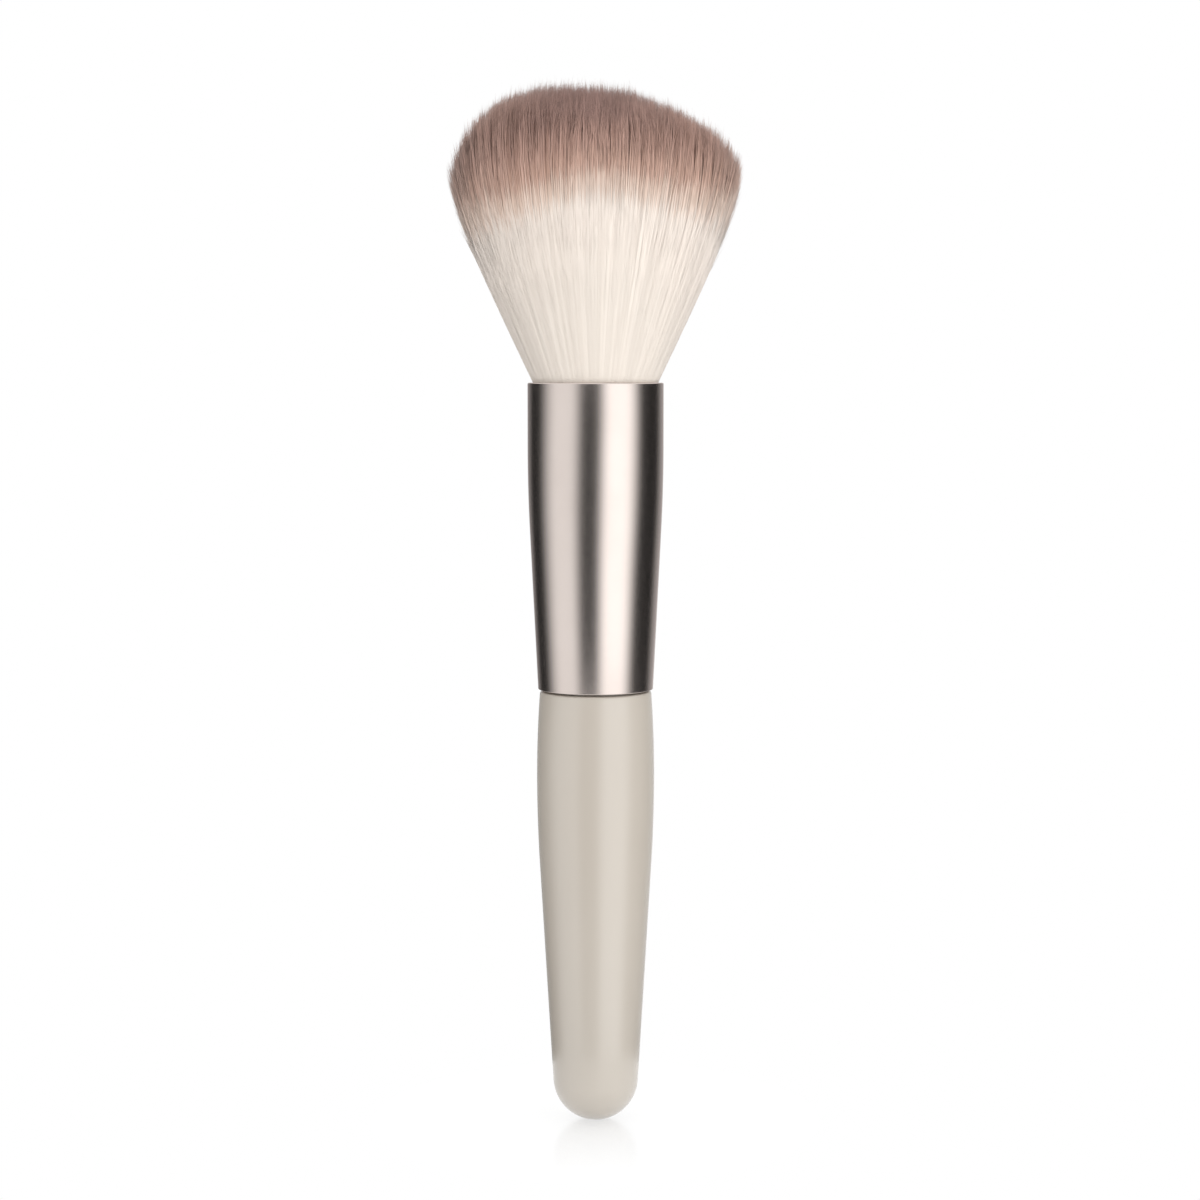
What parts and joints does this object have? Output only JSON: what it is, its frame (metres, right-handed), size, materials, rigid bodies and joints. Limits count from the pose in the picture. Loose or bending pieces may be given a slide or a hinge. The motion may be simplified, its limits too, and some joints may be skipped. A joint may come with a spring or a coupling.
{
  "type": "powder brush",
  "caption": "Powder brush with a turned lacquered wooden handle, a tapering metal ferrule and a wide flared tuft of two-tone fibres.",
  "frame": {"origin": "centre of the small flat on the end of the handle, where the brush's axis meets it", "axes": "+Z along the brush's axis from the handle to the tuft; +X across the tuft's wide side, towards the lower side of its slanted crown; -Y is the side that the picture shows"},
  "size_m": [0.0474, 0.0346, 0.1652],
  "materials": {
    "lacquered_wood": "matt greige lacquer over turned wood",
    "handle_adhesive": "cured amber adhesive",
    "satin_nickel": "drawn tube with a satin champagne nickel finish",
    "root_epoxy": "cured epoxy",
    "cotton_thread": "plain twisted thread",
    "brush_fibre": "fine soft fibre, ivory with mauve brown dyed ends"
  },
  "bodies": {
    "root": {"handle": "lacquered_wood", "handle_glue": "handle_adhesive", "ferrule": "satin_nickel", "root_glue": "root_epoxy", "tie_thread": "cotton_thread", "bristle_tuft": "brush_fibre"}
  },
  "joints": []
}
